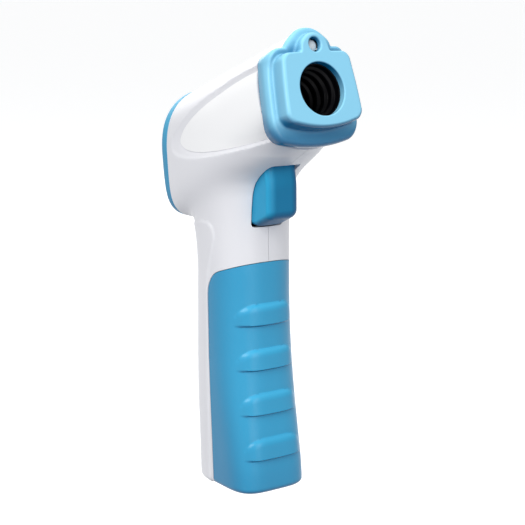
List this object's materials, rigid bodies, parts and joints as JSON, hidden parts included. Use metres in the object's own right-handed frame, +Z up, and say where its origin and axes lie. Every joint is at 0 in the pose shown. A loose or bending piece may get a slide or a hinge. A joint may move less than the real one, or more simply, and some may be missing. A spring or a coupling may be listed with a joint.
{
  "type": "digital thermometer",
  "caption": "Pistol-grip non-contact infrared thermometer with front sensor aperture, trigger, rear display and keys, and a ribbed grip cover over the cells.",
  "frame": {"origin": "on the flat underside of the grip, under the grip cover's base plate, on the plane where the two housing halves meet", "axes": "+Z up the grip, -Y towards the sensor nose, +Y towards the display, +X to the user's right when the display faces them"},
  "size_m": [0.0414, 0.077, 0.1652],
  "materials": {
    "white_plastic": "satin moulded ABS",
    "bezel_blue": "satin moulded ABS, light blue",
    "grip_blue": "fine satin, mid blue",
    "trigger_blue": "satin, deep blue",
    "label_white": "smooth printed film, blank",
    "black_plastic": "matte black",
    "clear_lens": "clear, polished",
    "dark_window": "dark, polished",
    "lcd_glass": "grey-green display glass",
    "light_guide": "milky",
    "key_grey": "silicone, grey",
    "steel": "plated",
    "board_green": "solder mask",
    "cell_jacket": "printed sleeve, plain",
    "lead_red": "pvc",
    "lead_black": "pvc"
  },
  "bodies": {
    "body": {"left_housing": "white_plastic", "right_housing": "white_plastic", "nose_bezel": "bezel_blue", "display_bezel": "bezel_blue", "label_left": "label_white", "label_right": "label_white", "sensor_tube": "black_plastic", "sensor_holder": "black_plastic", "battery_tray": "black_plastic", "microcontroller": "black_plastic", "buzzer": "black_plastic", "trigger_switch": "black_plastic", "mode_switch": "black_plastic", "up_switch": "black_plastic", "down_switch": "black_plastic", "guide_light_lens": "clear_lens", "infrared_lens": "dark_window", "display_window": "dark_window", "lcd_panel": "lcd_glass", "lcd_backlight": "light_guide", "guide_light_led": "light_guide", "sensor_cable": "light_guide", "housing_screw_1": "steel", "housing_screw_2": "steel", "housing_screw_3": "steel", "housing_screw_4": "steel", "housing_screw_5": "steel", "thermopile_sensor": "steel", "trigger_pin": "steel", "trigger_spring": "steel", "door_hinge_pin": "steel", "contact_spring_lower": "steel", "contact_spring_upper": "steel", "contact_bridge": "steel", "contact_plate": "steel", "sensor_board": "board_green", "main_board": "board_green", "switch_board": "board_green", "battery_left": "cell_jacket", "battery_right": "cell_jacket", "lead_red": "lead_red", "lead_black": "lead_black"},
    "trigger": {"trigger": "trigger_blue"},
    "switch_plunger": {"switch_plunger": "key_grey"},
    "battery_door": {"battery_door": "grip_blue"},
    "mode_key": {"mode_key": "key_grey"},
    "up_key": {"up_key": "key_grey"},
    "down_key": {"down_key": "key_grey"}
  },
  "joints": [
    {"name": "trigger_pull", "type": "hinge", "parent": "body", "child": "trigger", "pos_m": [0, -0.0105, 0.117], "axis": [1, 0, 0], "range_deg": [0, 8], "stiffness_Nm_per_rad": 0.3, "springref_deg": -17.19, "deforming": ["trigger_spring"]},
    {"name": "plunger_travel", "type": "slide", "parent": "body", "child": "switch_plunger", "axis": [0, 1, 0], "range_m": [0, 0.0022]},
    {"name": "door_swing", "type": "hinge", "parent": "body", "child": "battery_door", "pos_m": [0, 0.0012, 0.0022], "axis": [1, 0, 0], "range_deg": [0, 85]},
    {"name": "mode_press", "type": "slide", "parent": "body", "child": "mode_key", "axis": [0, -0.9943, 0.1062], "range_m": [0, 0.0008], "stiffness_N_per_m": 400, "springref_m": -0.001},
    {"name": "up_press", "type": "slide", "parent": "body", "child": "up_key", "axis": [0, -0.9943, 0.1062], "range_m": [0, 0.0008], "stiffness_N_per_m": 400, "springref_m": -0.001},
    {"name": "down_press", "type": "slide", "parent": "body", "child": "down_key", "axis": [0, -0.9943, 0.1062], "range_m": [0, 0.0008], "stiffness_N_per_m": 400, "springref_m": -0.001}
  ],
  "couplings": [
    {"joint": "plunger_travel", "follows": "trigger_pull", "m_per_rad": 0.015}
  ]
}
